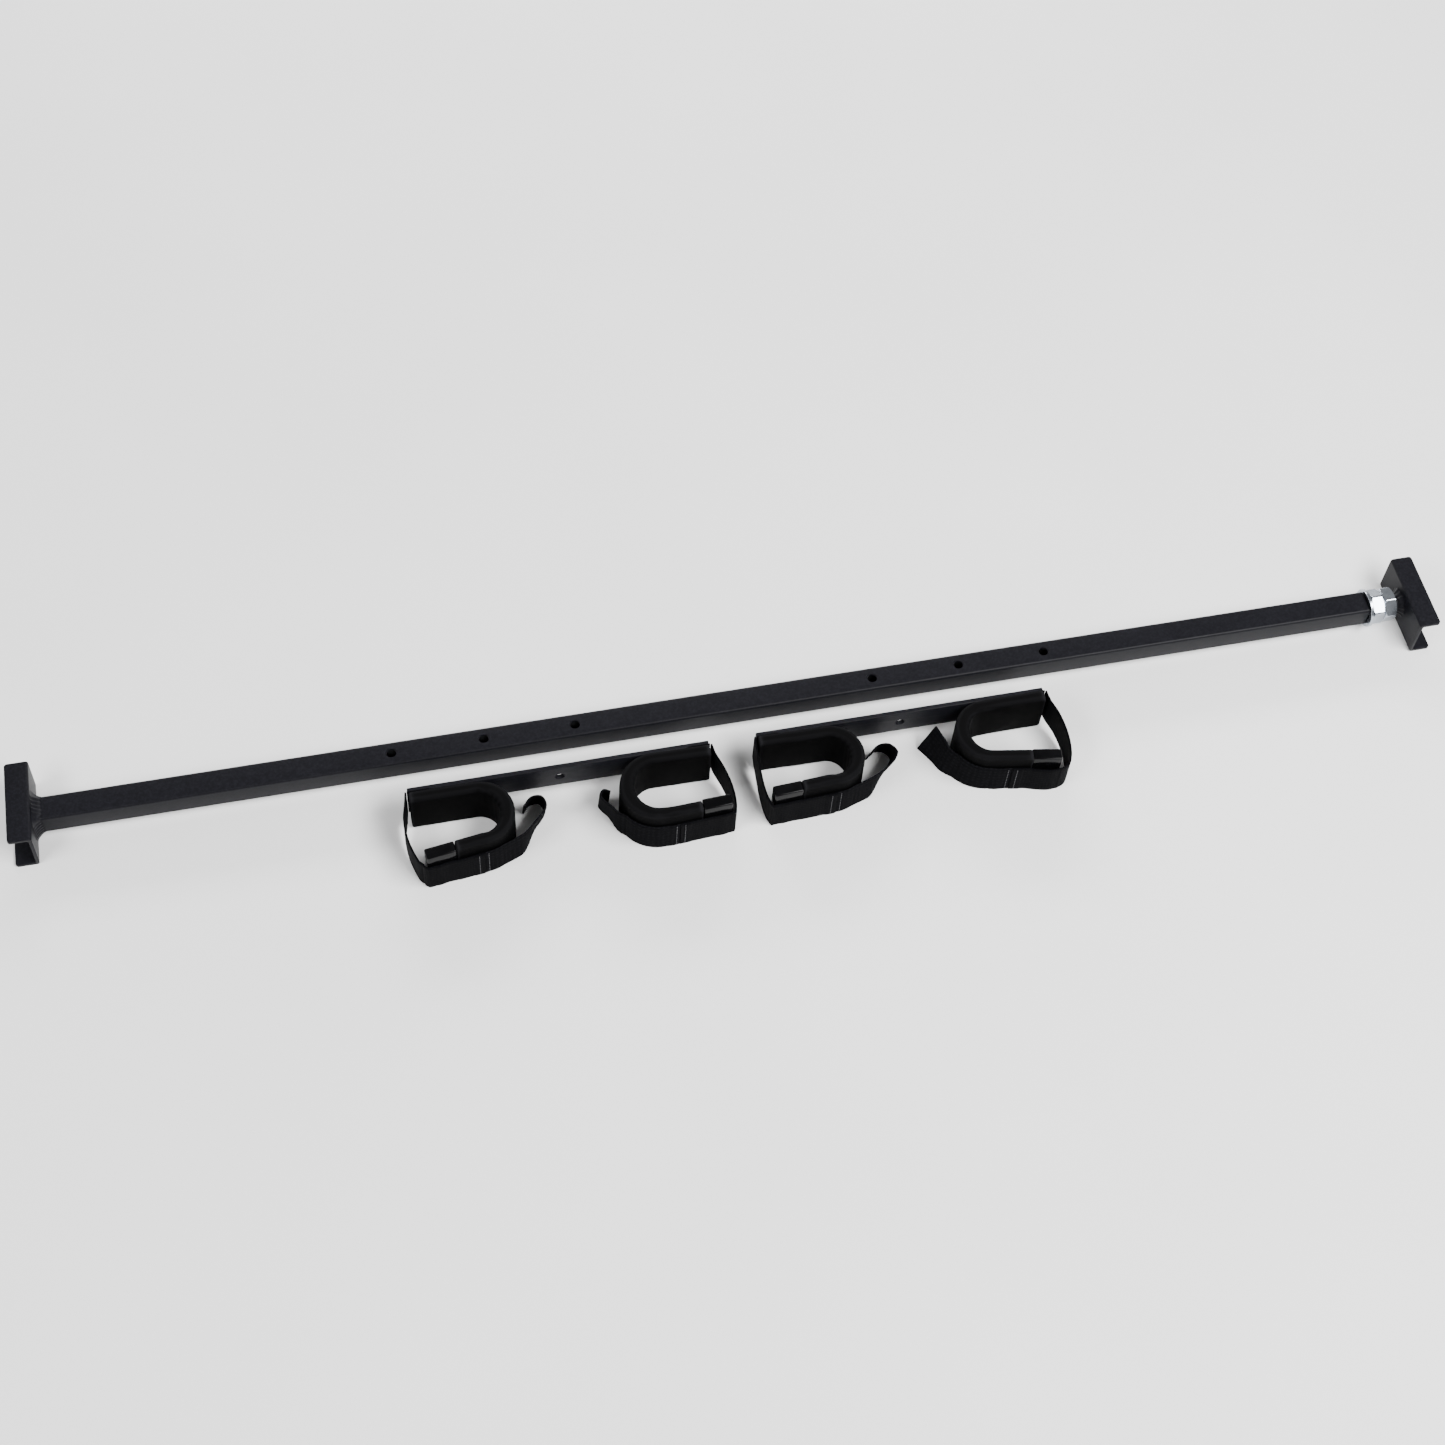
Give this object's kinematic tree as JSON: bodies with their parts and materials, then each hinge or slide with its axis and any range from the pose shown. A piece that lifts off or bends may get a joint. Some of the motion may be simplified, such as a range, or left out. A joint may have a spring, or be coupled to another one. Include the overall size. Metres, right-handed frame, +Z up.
{
  "type": "pull-up bar",
  "caption": "Steel doorway pull-up bar: square tube with channel end saddles and a screw jack, plus flat cuff bars carrying padded U-shaped hooks closed by webbing straps.",
  "frame": {"origin": "centre of the footprint at floor level, on the plane the end channels, cuffs and straps rest on", "axes": "+X along the square tube towards the screw-jack end, +Y across the bar away from the two cuff bars, +Z up"},
  "size_m": [1.4382, 0.184, 0.054],
  "materials": {
    "powder_coat": "satin black powder coat on steel, finely speckled",
    "zinc": "bright zinc plate on steel",
    "foam": "matt black closed-cell foam",
    "vinyl": "glossy black dipped vinyl",
    "webbing": "black woven nylon webbing",
    "grip_tape": "black hook-and-loop tape, matt"
  },
  "bodies": {
    "main_bar": {"left_channel": "powder_coat", "square_tube": "powder_coat", "tube_weld": "powder_coat", "end_washer": "zinc"},
    "jack_nut": {"jack_nut": "zinc"},
    "jam_nut": {"jam_nut": "zinc"},
    "adjuster": {"threaded_rod": "powder_coat", "right_channel": "powder_coat", "rod_weld": "powder_coat"},
    "left_cuff_bar": {"left_flat_bar": "powder_coat", "left_outer_hook_strip": "powder_coat", "left_outer_foam_pad": "foam", "left_outer_tip_cap": "vinyl", "left_outer_end_rivet": "zinc", "left_outer_arm_rivet": "zinc", "left_outer_strap_anchor": "webbing", "left_inner_hook_strip": "powder_coat", "left_inner_foam_pad": "foam", "left_inner_tip_cap": "vinyl", "left_inner_end_rivet": "zinc", "left_inner_arm_rivet": "zinc", "left_inner_strap_anchor": "webbing"},
    "right_cuff_bar": {"right_flat_bar": "powder_coat", "right_inner_hook_strip": "powder_coat", "right_inner_foam_pad": "foam", "right_inner_tip_cap": "vinyl", "right_inner_end_rivet": "zinc", "right_inner_arm_rivet": "zinc", "right_inner_strap_anchor": "webbing", "right_outer_hook_strip": "powder_coat", "right_outer_foam_pad": "foam", "right_outer_tip_cap": "vinyl", "right_outer_end_rivet": "zinc", "right_outer_arm_rivet": "zinc", "right_outer_strap_anchor": "webbing"},
    "left_outer_strap": {"left_outer_strap_webbing": "webbing", "left_outer_grip_tape": "grip_tape"},
    "left_inner_strap": {"left_inner_strap_webbing": "webbing", "left_inner_grip_tape": "grip_tape"},
    "right_inner_strap": {"right_inner_strap_webbing": "webbing", "right_inner_grip_tape": "grip_tape"},
    "right_outer_strap": {"right_outer_strap_webbing": "webbing", "right_outer_grip_tape": "grip_tape"}
  },
  "joints": [
    {"name": "jack_nut_turn", "type": "hinge", "parent": "main_bar", "child": "jack_nut", "pos_m": [0.6677, 0.04525, 0.0238], "axis": [1, 0, 0], "range_deg": [0, 8520]},
    {"name": "jam_nut_turn", "type": "hinge", "parent": "main_bar", "child": "jam_nut", "pos_m": [0.6814, 0.04525, 0.0238], "axis": [1, 0, 0], "range_deg": [0, 8520]},
    {"name": "adjuster_slide", "type": "slide", "parent": "main_bar", "child": "adjuster", "axis": [1, 0, 0], "range_m": [0, 0.06]},
    {"name": "left_cuff_bar_position", "type": "slide", "parent": "main_bar", "child": "left_cuff_bar", "axis": [1, 0, 0], "range_m": [-0.18, 0]},
    {"name": "right_cuff_bar_position", "type": "slide", "parent": "main_bar", "child": "right_cuff_bar", "axis": [1, 0, 0], "range_m": [0, 0.18]},
    {"name": "left_outer_strap_lift", "type": "hinge", "parent": "left_cuff_bar", "child": "left_outer_strap", "pos_m": [-0.3386, -0.00915, 0.05], "axis": [-1, 0, 0], "range_deg": [0, 80]},
    {"name": "left_inner_strap_lift", "type": "hinge", "parent": "left_cuff_bar", "child": "left_inner_strap", "pos_m": [-0.065, -0.00915, 0.05], "axis": [-1, 0, 0], "range_deg": [0, 80]},
    {"name": "right_inner_strap_lift", "type": "hinge", "parent": "right_cuff_bar", "child": "right_inner_strap", "pos_m": [0.0028, -0.00915, 0.05], "axis": [-1, 0, 0], "range_deg": [0, 80]},
    {"name": "right_outer_strap_lift", "type": "hinge", "parent": "right_cuff_bar", "child": "right_outer_strap", "pos_m": [0.2764, -0.00915, 0.05], "axis": [-1, 0, 0], "range_deg": [0, 80]}
  ],
  "couplings": [
    {"joint": "jack_nut_turn", "follows": "adjuster_slide", "rad_per_m": 2473.7},
    {"joint": "jam_nut_turn", "follows": "adjuster_slide", "rad_per_m": 2473.7}
  ]
}
